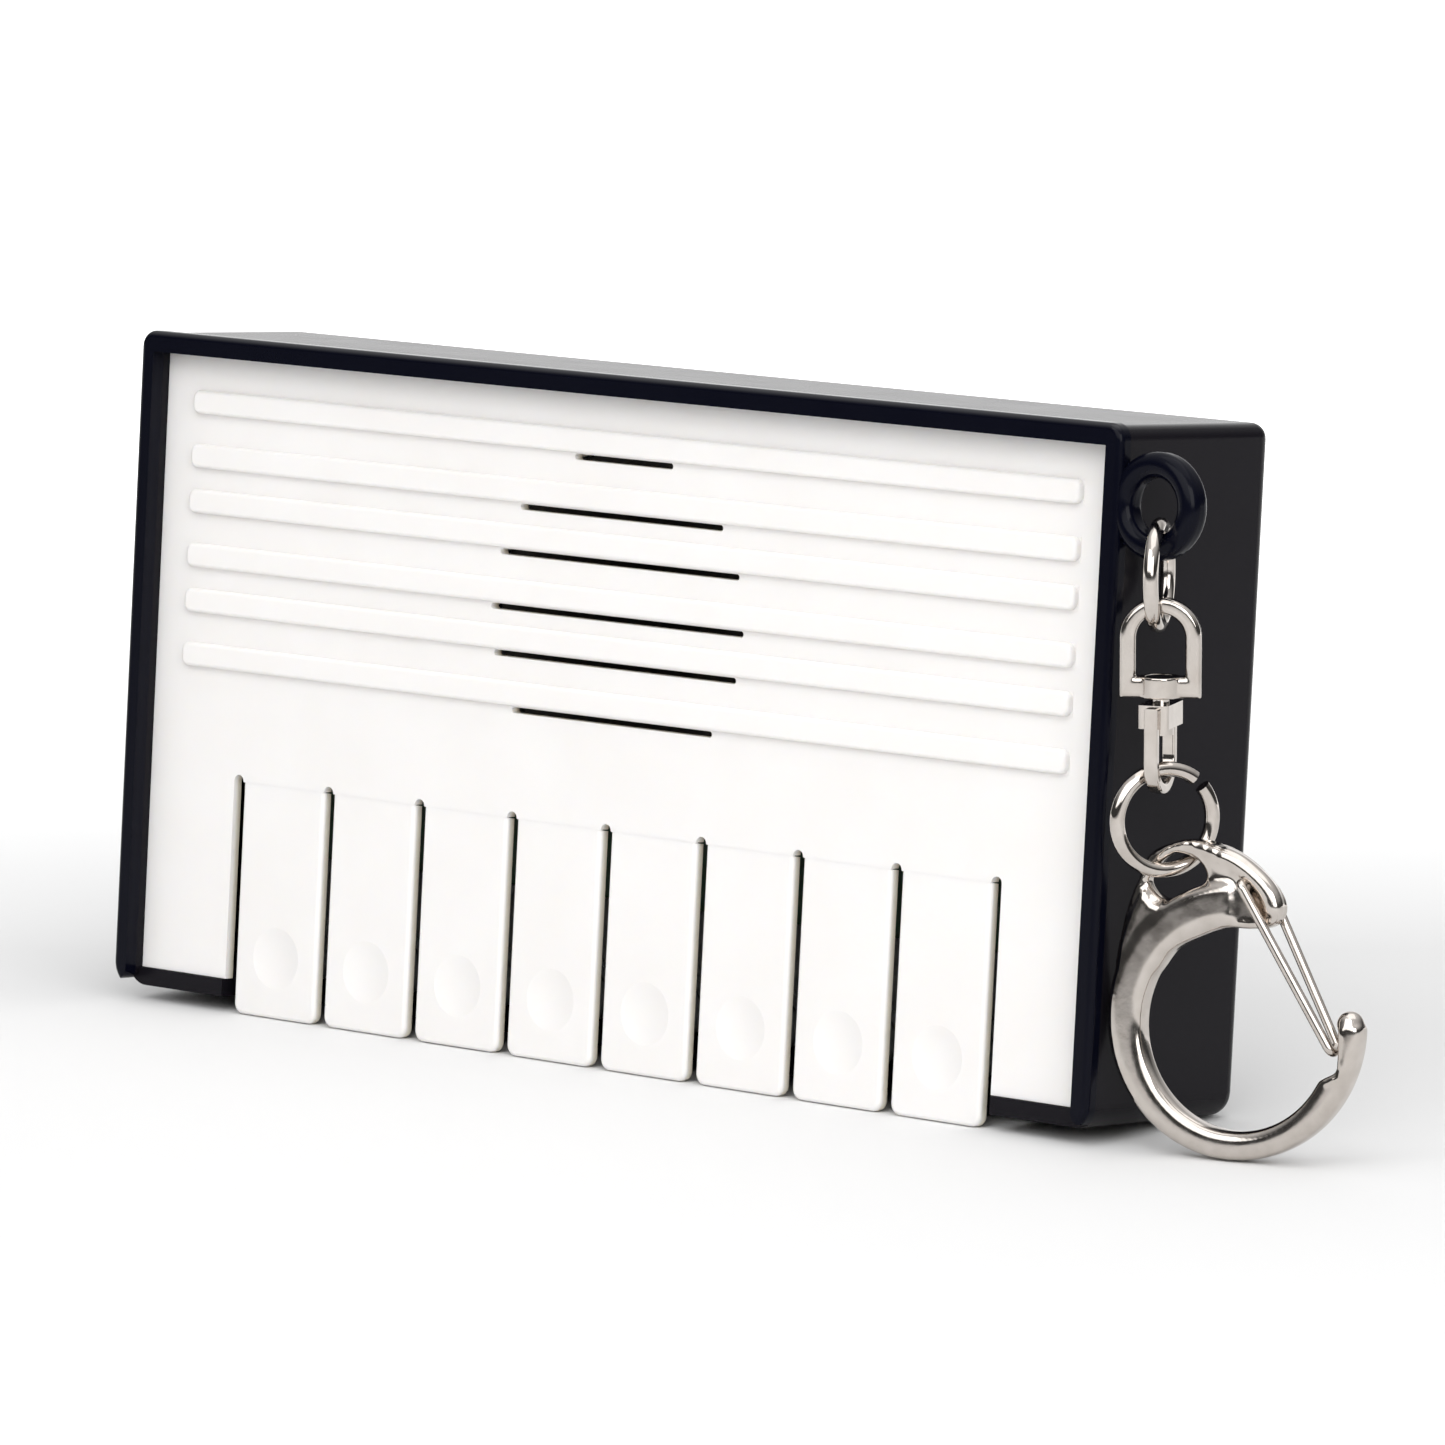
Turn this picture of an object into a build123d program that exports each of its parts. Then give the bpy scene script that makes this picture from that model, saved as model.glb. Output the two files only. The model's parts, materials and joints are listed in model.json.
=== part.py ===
from build123d import *
import math
import os

os.makedirs("parts", exist_ok=True)

# A keychain electronic mini piano: a flat case with eight push keys, a speaker and button cells,
# and a key chain of jump rings, a swivel and a snap hook on an eyelet at its upper right corner.
# Millimetres. +X is to the player's right, +Y is to the back and +Z is up with the piano on its keys.
# The origin is the centre of the case's flat back face.

# ---- driving dimensions ----
case_w = 114.5
case_h = 60.0
case_d = 21.1
top_corner_r = 1.3
bottom_corner_r = 2.2
split_depth = 11.8          # the front shell's depth, from the front plane to the parting line
wall = 1.6

rim_side = 1.45             # width of the glossy rim seen from the front
rim_top = 1.72
rim_bottom = 1.6
rim_set_back = 1.95         # the bottom rim is set back between the lower corners
rim_corner_r = 1.1
bead_round = 0.6
bead_proud = 0.2            # the rim stands proud of the case's sides
bead_depth = 1.4
ledge_w = 1.2
ledge_t = 1.5

panel_depth = 2.2           # the panel's face, behind the front plane
panel_t = 1.0
fit_gap = 0.05

key_count = 8
key_pitch = 11.17
slot_w = 1.15
slot_top = 20.42            # heights are above the case's underside
key_drop = 1.35             # the keys reach below the underside
key_corner_r = 1.0
key_edge_r = 0.4
dish_height = 4.15
dish_r = 2.8
dish_deep = 0.32
boss_r = 1.8
boss_l = 3.1
hinge_behind_face = 0.3
root_relief = 6.0           # degrees: the root face slopes away behind the hinge

bar_half_l = 52.0
bar_h = 2.12
bar_proud = 0.75
bar_end_r = 0.7
bar_foot = 0.06             # a square-cornered foot under each bar
bar_soft_r = 0.35
bar_tops = 55.06
bar_steps = [4.93, 4.13, 4.93, 4.13, 4.93]

speaker_height = 38.6
speaker_r = 15.2
grille_slot_h = 0.55
grille_below_bar = 0.43
grille_end_inset = 0.35

board_depth = 9.2
board_t = 1.2
mat_t = 1.0
dome_r = 2.2
dome_depth = 6.55
dome_l = 1.35

cell_r = 5.8
cell_l = 5.4
cell_count = 3
cell_depth = 13.4
bay_x = -36.5
bay_height = 44.0
bay_l = 19.5
bay_h = 12.2
bay_floor_depth = 7.3

door_w = 23.5
door_h = 15.0
door_t = 1.4
door_gap = 0.2

screw_x = 50.6
screw_z = 23.6
boss_d = 5.0

eyelet_x = 60.72
eyelet_height = 53.47
eyelet_depth = 1.5
eyelet_r = 4.62
eyelet_hole_r = 2.42
eyelet_t = 2.6
eyelet_round = 1.05

lean = 4.4                  # degrees: on its key ends the case leans back, and the chain hangs plumb
wire_d = 1.3
ring_outer_d = 9.75
lower_ring_outer_d = 9.96
ring_gap = 0.24             # the ring crosses the eyelet at an angle
head_gap = 0.42             # the head rests beside the ring's lowest point


# ---- places ----
def height(h):
    """The z of a height above the case's underside."""
    return h - case_h / 2


def depth_y(depth):
    """The y of a depth behind the front plane."""
    return depth - case_d


def depth_plane(depth):
    """The plane at a depth behind the front plane, facing forwards. Its local axes are X and Z."""
    return Plane.XZ.offset(case_d - depth)


def case_outline(depth, inset):
    """The case's outline, moved inwards by an inset, at a depth."""
    with BuildSketch(depth_plane(depth)) as outline:
        Rectangle(case_w - 2 * inset, case_h - 2 * inset)
        fillet(outline.vertices().group_by(Axis.Y)[0], max(bottom_corner_r - inset, 0.4))
        fillet(outline.vertices().group_by(Axis.Y)[-1], max(top_corner_r - inset, 0.4))
    return outline.sketch


def box_sketch(depth, x_low, x_high, z_low, z_high):
    """A rectangle between two x values and two z values at a depth."""
    with BuildSketch(depth_plane(depth)) as area:
        with Locations(((x_low + x_high) / 2, (z_low + z_high) / 2)):
            Rectangle(x_high - x_low, z_high - z_low)
    return area.sketch


def disc_sketch(depth, places, r):
    """Discs of one radius at (x, z) places at a depth."""
    with BuildSketch(depth_plane(depth)) as discs:
        with Locations(*places):
            Circle(r)
    return discs.sketch


def save(part, label):
    """Names a finished piece and writes its STEP file."""
    part.label = label
    export_step(part, f"parts/{label}.step")


keys_half_w = key_count * key_pitch / 2
panel_cut_half_w = keys_half_w + slot_w / 2
notch_half_w = panel_cut_half_w + 0.15
key_cut_top = height(slot_top) - slot_w / 2
key_root_z = key_cut_top - fit_gap
opening_x = case_w / 2 - rim_side
opening_low = height(rim_bottom)
opening_high = height(case_h - rim_top)
panel_back = panel_depth + panel_t
key_xs = [(i - (key_count - 1) / 2) * key_pitch for i in range(key_count)]
slot_xs = [(i - key_count / 2) * key_pitch for i in range(key_count + 1)]
screw_places = [(x, z) for x in (-screw_x, screw_x) for z in (-screw_z, screw_z)]
back_screw_seat = 2.6
screw_head_r = 2.1
screw_head_l = 1.5
screw_l = 11.5
screw_r = 1.1


# ---- front case: rim, side walls, panel ledge, screw bosses and the key chain's eyelet ----
pilot_r = 0.85
ledge_depth = panel_back + fit_gap
boss_end_depth = ledge_depth + ledge_t
notch_back_depth = 6.7

with BuildPart() as eyelet:
    with BuildSketch(depth_plane(eyelet_depth + eyelet_t / 2)):
        with Locations((eyelet_x, height(eyelet_height))):
            Circle(eyelet_r)
            Circle(eyelet_hole_r, mode=Mode.SUBTRACT)
    extrude(amount=eyelet_t)
    fillet(eyelet.edges().filter_by(GeomType.CIRCLE), eyelet_round)

with BuildPart() as front_case:
    extrude(case_outline(split_depth, 0), amount=split_depth)
    extrude(case_outline(bead_depth, -bead_proud), amount=bead_depth)
    bead_front = front_case.faces().sort_by(Axis.Y)[0]
    fillet(bead_front.edges(), bead_round)
    opening = box_sketch(split_depth, -opening_x, opening_x, opening_low, opening_high)
    extrude(opening, amount=split_depth, mode=Mode.SUBTRACT)
    for z_edge, side in ((opening_high, -1), (opening_low, 1)):
        z_ends = sorted((z_edge, z_edge + side * ledge_w))
        extrude(box_sketch(boss_end_depth, -opening_x, opening_x, *z_ends), amount=ledge_t)
    for x_edge, side in ((-opening_x, 1), (opening_x, -1)):
        x_ends = sorted((x_edge, x_edge + side * ledge_w))
        extrude(box_sketch(boss_end_depth, *x_ends, opening_low, opening_high), amount=ledge_t)
    for x, z in screw_places:
        x_ends = sorted((x - math.copysign(boss_d / 2, x), math.copysign(opening_x, x)))
        z_ends = sorted((z - math.copysign(boss_d / 2, z), opening_high if z > 0 else opening_low))
        extrude(box_sketch(boss_end_depth, *x_ends, *z_ends), amount=ledge_t)
    boss_l_front = split_depth - boss_end_depth
    extrude(disc_sketch(split_depth, screw_places, boss_d / 2), amount=boss_l_front)
    extrude(disc_sketch(split_depth, screw_places, pilot_r), amount=boss_l_front, mode=Mode.SUBTRACT)
    key_notch = box_sketch(notch_back_depth, -notch_half_w, notch_half_w, -case_h, opening_low + ledge_w)
    extrude(key_notch, amount=notch_back_depth, mode=Mode.SUBTRACT)
    with BuildSketch(depth_plane(rim_set_back)):
        with Locations((0, opening_low - case_h / 2)):
            Rectangle(2 * (opening_x + rim_corner_r), case_h)
        with Locations(*[(side * (opening_x + rim_corner_r), opening_low) for side in (-1, 1)]):
            Circle(rim_corner_r, mode=Mode.SUBTRACT)
    extrude(amount=case_d, mode=Mode.SUBTRACT)
    add(eyelet.part)
save(front_case.part, "front_case")


# ---- back case: shell, locating lip, screw bosses, board posts and battery bay ----
lip_l = 1.3
lip_depth = split_depth - lip_l
lip_root_depth = 14.0
lip_root_in = 1.2
back_edge_r = 1.5
door_boss_r = 2.4
door_boss_l = 5.5
door_pilot_r = 0.75
door_pilot_l = 6.0
lip_out = rim_top + fit_gap
lip_in = 2.5
post_places = [(x, height(h)) for x in (-43.0, 43.0) for h in (5.2, 26.0)]
post_r = 2.0
peg_r = 0.75
door_boss = (bay_x, height(bay_height) - bay_h / 2 - 3.2)
door_tab_w = 6.0
door_tab_h = 5.0
door_corner_r = 1.1
bay_wall = 1.0


def door_outline(depth, gap):
    """The battery door's outline with its screw tab, grown by a gap."""
    with BuildSketch(depth_plane(depth)) as outline:
        with Locations((bay_x, height(bay_height))):
            RectangleRounded(door_w + 2 * gap, door_h + 2 * gap, door_corner_r)
        with Locations((bay_x, door_boss[1] + door_corner_r)):
            RectangleRounded(door_tab_w + 2 * gap, door_tab_h + 2 * gap, door_corner_r)
    return outline.sketch


def around_bay(depth, grow):
    """The battery bay's rectangle, grown by a wall, at a depth."""
    middle = height(bay_height)
    half_l = bay_l / 2 + grow
    half_h = bay_h / 2 + grow
    return box_sketch(depth, bay_x - half_l, bay_x + half_l, middle - half_h, middle + half_h)


back_shell_l = case_d - split_depth
inner_back = case_d - wall
with BuildPart() as back_case:
    extrude(case_outline(case_d, 0), amount=back_shell_l)
    fillet(back_case.faces().sort_by(Axis.Y)[-1].edges(), back_edge_r)
    extrude(case_outline(inner_back, wall), amount=inner_back - split_depth, mode=Mode.SUBTRACT)
    extrude(case_outline(lip_root_depth, lip_root_in), amount=lip_root_depth - split_depth)
    extrude(case_outline(split_depth, lip_out), amount=split_depth - lip_depth)
    extrude(case_outline(lip_root_depth, lip_in), amount=lip_root_depth - lip_depth, mode=Mode.SUBTRACT)
    extrude(disc_sketch(inner_back, screw_places, boss_d / 2), amount=inner_back - split_depth)
    post_l = inner_back - board_depth - board_t
    extrude(disc_sketch(inner_back, post_places, post_r), amount=post_l)
    extrude(disc_sketch(inner_back, post_places, peg_r), amount=post_l + board_t)
    extrude(around_bay(inner_back, bay_wall), amount=inner_back - bay_floor_depth + bay_wall)
    extrude(disc_sketch(inner_back, [door_boss], door_boss_r), amount=door_boss_l)
    extrude(around_bay(case_d, 0), amount=case_d - bay_floor_depth, mode=Mode.SUBTRACT)
    extrude(door_outline(case_d, door_gap), amount=door_t, mode=Mode.SUBTRACT)
    extrude(disc_sketch(case_d, [door_boss], door_pilot_r), amount=door_pilot_l, mode=Mode.SUBTRACT)
    extrude(disc_sketch(case_d, screw_places, screw_r + fit_gap), amount=case_d, mode=Mode.SUBTRACT)
    seat = disc_sketch(case_d, screw_places, screw_head_r + door_gap)
    extrude(seat, amount=back_screw_seat, mode=Mode.SUBTRACT)
save(back_case.part, "back_case")


# ---- case screws: four pan-head self-tapping screws ----
cross_half_w = 0.22


def screw(seat_depth, place, head_r, head_l, shank_r, shank_l):
    """A cross-head screw whose head lies in front of a depth, driven forwards from the back."""
    x, z = place
    with BuildPart() as driven:
        extrude(disc_sketch(seat_depth, [place], shank_r), amount=shank_l)
        extrude(disc_sketch(seat_depth + head_l, [place], head_r), amount=head_l)
        head_back = driven.faces().sort_by(Axis.Y)[-1]
        fillet(head_back.edges(), head_l * 0.45)
        for half_w, half_h in ((head_r * 0.6, cross_half_w), (cross_half_w, head_r * 0.6)):
            cross = box_sketch(seat_depth + head_l, x - half_w, x + half_w, z - half_h, z + half_h)
            extrude(cross, amount=head_l * 0.6, mode=Mode.SUBTRACT)
    return driven.part


with BuildPart() as case_screws:
    for place in screw_places:
        add(screw(case_d - back_screw_seat, place, screw_head_r, screw_head_l, pilot_r, screw_l))
save(case_screws.part, "case_screws")


# ---- front panel: ivory plate with six raised bars, grille slots and the key openings ----
bar_top_heights = [bar_tops - sum(bar_steps[:i]) for i in range(len(bar_steps) + 1)]
bar_places = [(0, height(top) - bar_h / 2) for top in bar_top_heights]
panel_half_w = opening_x - fit_gap
panel_low = opening_low + fit_gap
panel_high = opening_high - fit_gap

with BuildPart() as front_panel:
    extrude(box_sketch(panel_back, -panel_half_w, panel_half_w, panel_low, panel_high), amount=panel_t)
    key_area = box_sketch(panel_back, -panel_cut_half_w, panel_cut_half_w, -case_h, key_cut_top)
    extrude(key_area, amount=panel_t, mode=Mode.SUBTRACT)
    slot_ends = disc_sketch(panel_back, [(x, key_cut_top) for x in slot_xs], slot_w / 2)
    extrude(slot_ends, amount=panel_t, mode=Mode.SUBTRACT)
    with BuildSketch(depth_plane(panel_depth)):
        with Locations(*bar_places):
            Rectangle(2 * bar_half_l, bar_h)
    extrude(amount=bar_foot)
    with BuildSketch(depth_plane(panel_depth - bar_foot)):
        with Locations(*bar_places):
            RectangleRounded(2 * bar_half_l, bar_h, bar_end_r)
    extrude(amount=bar_proud - bar_foot)
    fillet(front_panel.faces().filter_by(Axis.Y).group_by(Axis.Y)[0].edges(), bar_soft_r)
    for top in bar_top_heights:
        slot_z = height(top - bar_h - grille_below_bar)
        off_centre = slot_z - height(speaker_height)
        half_l = math.sqrt(speaker_r ** 2 - off_centre ** 2) - grille_end_inset
        with BuildSketch(depth_plane(panel_back)):
            with Locations((0, slot_z)):
                SlotOverall(2 * half_l, grille_slot_h)
        extrude(amount=panel_t + bar_proud, mode=Mode.SUBTRACT)
save(front_panel.part, "front_panel")


# ---- keys: eight ivory tongues, each with a finger dish and a boss that presses its dome ----
key_half_w = (key_pitch - slot_w) / 2
key_low = height(-key_drop)
relief = panel_t * math.tan(math.radians(root_relief))
dish_ball_r = (dish_r ** 2 + dish_deep ** 2) / (2 * dish_deep)

for number, x in enumerate(key_xs, start=1):
    with BuildPart() as key:
        with BuildSketch(Plane.YZ.offset(x)):
            with BuildLine():
                Polyline(
                    (depth_y(panel_depth), key_low),
                    (depth_y(panel_depth), key_root_z),
                    (depth_y(panel_back), key_root_z - relief),
                    (depth_y(panel_back), key_low),
                    close=True,
                )
            make_face()
        extrude(amount=key_half_w, both=True)
        lower_corners = key.edges().filter_by(Axis.Y).group_by(Axis.Z)[0]
        fillet(lower_corners, key_corner_r)
        front_edges = key.faces().sort_by(Axis.Y)[0].edges().sort_by(Axis.Z)[:-1]
        fillet(front_edges, key_edge_r)
        extrude(disc_sketch(panel_back + boss_l, [(x, height(dish_height))], boss_r), amount=boss_l)
        ball_y = depth_y(panel_depth + dish_deep) - dish_ball_r
        with Locations((x, ball_y, height(dish_height))):
            Sphere(dish_ball_r, mode=Mode.SUBTRACT)
    save(key.part, f"key_{number}")


# ---- rubber domes: the moving top of each dome, pressed by its key's boss ----
for number, x in enumerate(key_xs, start=1):
    with BuildPart() as dome:
        extrude(disc_sketch(dome_depth + dome_l, [(x, height(dish_height))], dome_r), amount=dome_l)
        fillet(dome.edges().filter_by(GeomType.CIRCLE).sort_by(Axis.Y)[0], 0.4)
    save(dome.part, f"dome_{number}")


# ---- key mat: the rubber sheet with a collar around each dome ----
dome_places = [(x, height(dish_height)) for x in key_xs]
mat_low = height(2.75)
mat_high = height(13.0)
collar_r = 3.4
collar_l = 1.0
mat_front = board_depth - mat_t

with BuildPart() as key_mat:
    extrude(box_sketch(board_depth, -keys_half_w, keys_half_w, mat_low, mat_high), amount=mat_t)
    with BuildSketch(depth_plane(mat_front)):
        with Locations(*dome_places):
            Circle(collar_r)
        with Locations((0, (mat_low + mat_high) / 2)):
            Rectangle(2 * keys_half_w, mat_high - mat_low, mode=Mode.INTERSECT)
    extrude(amount=collar_l)
    extrude(disc_sketch(board_depth, dome_places, dome_r + 0.35), amount=4, mode=Mode.SUBTRACT)
save(key_mat.part, "key_mat")


# ---- circuit board with its blob chip and small components ----
board_half_w = 46.5
board_low = height(2.65)
board_high = height(28.6)
board_back = board_depth + board_t

with BuildPart() as circuit_board:
    extrude(box_sketch(board_back, -board_half_w, board_half_w, board_low, board_high), amount=board_t)
    extrude(disc_sketch(board_back, post_places, peg_r + fit_gap), amount=board_t, mode=Mode.SUBTRACT)
save(circuit_board.part, "circuit_board")

chip_place = (18.0, height(17.0))
chip_r = 4.6
chip_t = 1.7
with BuildPart() as sound_chip:
    extrude(disc_sketch(board_back + chip_t, [chip_place], chip_r), amount=chip_t)
    fillet(sound_chip.edges().filter_by(GeomType.CIRCLE).sort_by(Axis.Y)[-1], chip_t * 0.8)
save(sound_chip.part, "sound_chip")

component_t = 1.1
component_places = [(4.0, height(18.0)), (8.0, height(14.0)), (28.0, height(19.0)), (28.0, height(15.0))]
with BuildPart() as board_components:
    for x, z in component_places:
        extrude(box_sketch(board_back + component_t, x - 1.6, x + 1.6, z - 0.8, z + 0.8),
                amount=component_t)
save(board_components.part, "board_components")


# ---- speaker: steel frame, paper cone and magnet, on an axis square to the panel ----
speaker_axis = Axis((0, 0, height(speaker_height)), (0, 1, 0))
speaker_section = Plane(origin=(0, 0, height(speaker_height)), x_dir=(1, 0, 0), z_dir=(0, 0, 1))


def turned(label, points):
    """A piece turned about the speaker's axis from (radius, depth) points."""
    with BuildPart() as piece:
        with BuildSketch(speaker_section):
            with BuildLine():
                Polyline(*[(r, depth_y(depth)) for r, depth in points], close=True)
            make_face()
        revolve(axis=speaker_axis)
    save(piece.part, label)


speaker_front = panel_back + fit_gap
turned("speaker_frame", [
    (15.0, speaker_front), (17.0, speaker_front), (17.0, speaker_front + 1.05), (15.9, speaker_front + 1.05),
    (9.0, speaker_front + 4.45), (9.0, speaker_front + 5.25), (2.4, speaker_front + 5.25),
    (2.4, speaker_front + 4.65), (8.2, speaker_front + 4.65), (8.2, speaker_front + 4.05),
    (15.0, speaker_front + 0.65),
])
turned("speaker_cone", [
    (0.0, speaker_front + 1.65), (3.4, speaker_front + 2.65), (4.2, speaker_front + 2.65),
    (14.8, speaker_front + 0.35), (14.8, speaker_front + 0.7), (4.4, speaker_front + 3.05),
    (3.2, speaker_front + 3.05), (0.0, speaker_front + 2.05),
])
turned("speaker_magnet", [
    (0.0, speaker_front + 5.3), (8.0, speaker_front + 5.3), (8.0, speaker_front + 8.95),
    (7.6, speaker_front + 9.35), (0.0, speaker_front + 9.35),
])


# ---- button cells in a row along X, between two sheet-metal contacts ----
cell_y = depth_y(cell_depth)
cell_z = height(bay_height)
contact_t = 0.3
cells_start = bay_x - bay_l / 2 + 0.6

for number in range(1, cell_count + 1):
    start = cells_start + (number - 1) * (cell_l + 0.02)
    with BuildPart() as cell:
        with BuildSketch(Plane(origin=(start, cell_y, cell_z), x_dir=(0, 1, 0), z_dir=(1, 0, 0))):
            Circle(cell_r)
        extrude(amount=cell_l - 0.3)
        chamfer(cell.faces().sort_by(Axis.X)[-1].edges(), 0.4)
        with BuildSketch(Plane(origin=(start, cell_y, cell_z), x_dir=(0, 1, 0), z_dir=(1, 0, 0))):
            Circle(cell_r * 0.72)
        extrude(amount=cell_l)
    save(cell.part, f"button_cell_{number}")


def contact(label, wall_x, towards, tongue):
    """A contact plate on the bay's end wall, with a tongue bent towards the cells."""
    with BuildPart() as plate:
        with BuildSketch(Plane.XZ.offset(-(cell_y + 4.6))):
            with BuildLine():
                Polyline(
                    (wall_x, cell_z - 4.5),
                    (wall_x, cell_z + 4.5),
                    (wall_x + towards * contact_t, cell_z + 4.5),
                    (wall_x + towards * contact_t, cell_z + 2.2),
                    (wall_x + towards * tongue, cell_z),
                    (wall_x + towards * contact_t, cell_z - 2.2),
                    (wall_x + towards * contact_t, cell_z - 4.5),
                    close=True,
                )
            make_face()
        extrude(amount=9.2)
    save(plate.part, label)


cells_end = cells_start + cell_count * (cell_l + 0.02)
bay_right = bay_x + bay_l / 2
contact("battery_contact_left", bay_x - bay_l / 2, 1, 0.55)
contact("battery_contact_right", bay_right, -1, bay_right - cells_end - 0.05)


# ---- battery door and its screw ----
vent_places = [(bay_x + step, height(bay_height) + 4.2) for step in (-6, -3, 0, 3, 6)]
vent_r = 0.5
door_seat = 0.9
door_screw_head_r = 1.45
with BuildPart() as battery_door:
    extrude(door_outline(case_d, 0), amount=door_t)
    extrude(disc_sketch(case_d, vent_places, vent_r), amount=door_t, mode=Mode.SUBTRACT)
    extrude(disc_sketch(case_d, [door_boss], door_seat), amount=door_t, mode=Mode.SUBTRACT)
    extrude(disc_sketch(case_d, [door_boss], door_screw_head_r + fit_gap), amount=door_seat, mode=Mode.SUBTRACT)
save(battery_door.part, "battery_door")
save(screw(case_d - door_seat, door_boss, door_screw_head_r, 0.8, 0.7, 4.8), "door_screw")


# ---- key chain: every link hangs plumb below the eyelet ----
down = Vector(0, math.sin(math.radians(lean)), -math.cos(math.radians(lean)))
eyelet_wire_r = (eyelet_r - eyelet_hole_r) / 2
chain_top = Vector(eyelet_x, depth_y(eyelet_depth), height(eyelet_height) - eyelet_r + eyelet_wire_r)


def hanging(drop, outward, back, azimuth, tilt=0.0):
    """A plumb plane on the chain, at a drop below the eyelet, offset outwards and backwards.

    Azimuth 0 faces the front and 90 faces away from the case. Tilt turns the face upwards.
    """
    turn = math.radians(azimuth)
    rise = math.radians(tilt)
    level = Vector(math.sin(turn), -math.cos(turn), 0).rotate(Axis.X, lean)
    facing = level * math.cos(rise) - down * math.sin(rise)
    upright = level * -math.sin(rise) - down * math.cos(rise)
    place = chain_top + down * drop + Vector(outward, back, 0)
    return Plane(origin=place, x_dir=upright.cross(facing), z_dir=facing)


wire_r = wire_d / 2
ring_r = (ring_outer_d - wire_d) / 2
lower_ring_r = (lower_ring_outer_d - wire_d) / 2
head_w = 6.9
head_h = 8.5
head_arm = 1.36
head_bar = 1.8
head_t = 1.9
block_gap = 0.45
block_h = 2.0
link_bottom = 0.95
link_rise = 0.5            # the ring crosses the link's curved foot at an angle, so it rides higher
link_leg_t = 0.8
link_leg_w = 1.2
link_spread = 5.0

ring_drop = ring_r - eyelet_wire_r - ring_gap - wire_r
ring_low_drop = ring_drop + ring_r
head_top_drop = ring_low_drop - wire_r - head_gap - head_arm
head_low_drop = head_top_drop + head_h
block_drop = head_low_drop + block_gap
link_low_drop = 20.75
lower_ring_top = link_low_drop - link_bottom - link_rise - wire_r
lower_ring_drop = lower_ring_top + lower_ring_r
hook_drop = 27.9

ring_plane = hanging(ring_drop, 0.5, -0.3, -61.4)
head_plane = hanging(head_low_drop, 1.2, -0.9, 35.0)
link_plane = hanging(block_drop, 1.2, -0.9, 111.0)
lower_ring_plane = hanging(lower_ring_drop, 1.35, -0.45, 61.0)
hook_plane = hanging(hook_drop, 2.6, 0.25, 13.0, 5.0)


def jump_ring(plane, radius, gap_start, gap_end):
    """An open wire ring in a plane, with its gap between two angles."""
    with BuildPart() as ring:
        with BuildLine(plane):
            path = CenterArc((0, 0), radius, gap_end, 360 - (gap_end - gap_start))
        with BuildSketch(Plane(origin=path @ 0, z_dir=path % 0)):
            Circle(wire_r)
        sweep()
    return ring.part


upper_ring = jump_ring(ring_plane, ring_r, 128, 162)
save(upper_ring, "upper_ring")
lower_ring = jump_ring(lower_ring_plane, lower_ring_r, 38, 52)
save(lower_ring, "lower_ring")


def arch(plane, half_w, low, high):
    """A shape with a flat foot and a round top, standing on a plane's local x axis."""
    with BuildSketch(plane) as shape:
        with BuildLine():
            Line((-half_w, low), (half_w, low))
            Line((half_w, low), (half_w, high - half_w))
            CenterArc((0, high - half_w), half_w, 0, 180)
            Line((-half_w, high - half_w), (-half_w, low))
        make_face()
    return shape.sketch


# Swivel head: a cast D whose bar is bored for the pin.
pin_r = 0.75
pin_hole_r = 0.81
pin_head_r = 1.25
pin_head_l = 0.38
pin_gap = 0.08
pin_boss_r = 1.75
peen_r = 1.15
peen_l = 0.7
head_edge_r = 0.45
pin_seat_l = pin_head_l + 2 * fit_gap
with BuildPart() as swivel_head:
    extrude(arch(head_plane, head_w / 2, 0, head_h), amount=head_t / 2, both=True)
    inner = arch(head_plane, head_w / 2 - head_arm, head_bar, head_h - head_arm)
    extrude(inner, amount=head_t, both=True, mode=Mode.SUBTRACT)
    fillet(swivel_head.faces().filter_by(head_plane).edges(), head_edge_r)
    pin_foot = Plane(origin=head_plane.origin, x_dir=head_plane.x_dir, z_dir=head_plane.y_dir)
    with BuildSketch(pin_foot):
        Circle(pin_boss_r)
    extrude(amount=head_bar)
    with BuildSketch(pin_foot):
        Circle(pin_hole_r)
    extrude(amount=head_bar, mode=Mode.SUBTRACT)
    with BuildSketch(pin_foot.offset(head_bar - pin_seat_l)):
        Circle(pin_head_r + pin_gap)
    extrude(amount=pin_seat_l, mode=Mode.SUBTRACT)
save(swivel_head.part, "swivel_head")

# Swivel pin: a shaft with a flat head sunk in the bar and a peened end under the link's block.
link_foot = Plane(origin=link_plane.origin, x_dir=link_plane.x_dir, z_dir=-link_plane.y_dir)
pin_plane = Plane(
    origin=link_plane.origin - link_plane.y_dir * block_h,
    x_dir=link_plane.x_dir,
    z_dir=link_plane.y_dir,
)
shaft_l = block_h + block_gap + head_bar - pin_head_l - fit_gap
with BuildPart() as swivel_pin:
    with BuildSketch(pin_plane.offset(-peen_l)):
        Circle(peen_r)
    extrude(amount=peen_l)
    with BuildSketch(pin_plane):
        Circle(pin_r)
    extrude(amount=shaft_l)
    with BuildSketch(pin_plane.offset(shaft_l)):
        Circle(pin_head_r)
    extrude(amount=pin_head_l)
save(swivel_pin.part, "swivel_pin")

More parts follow.
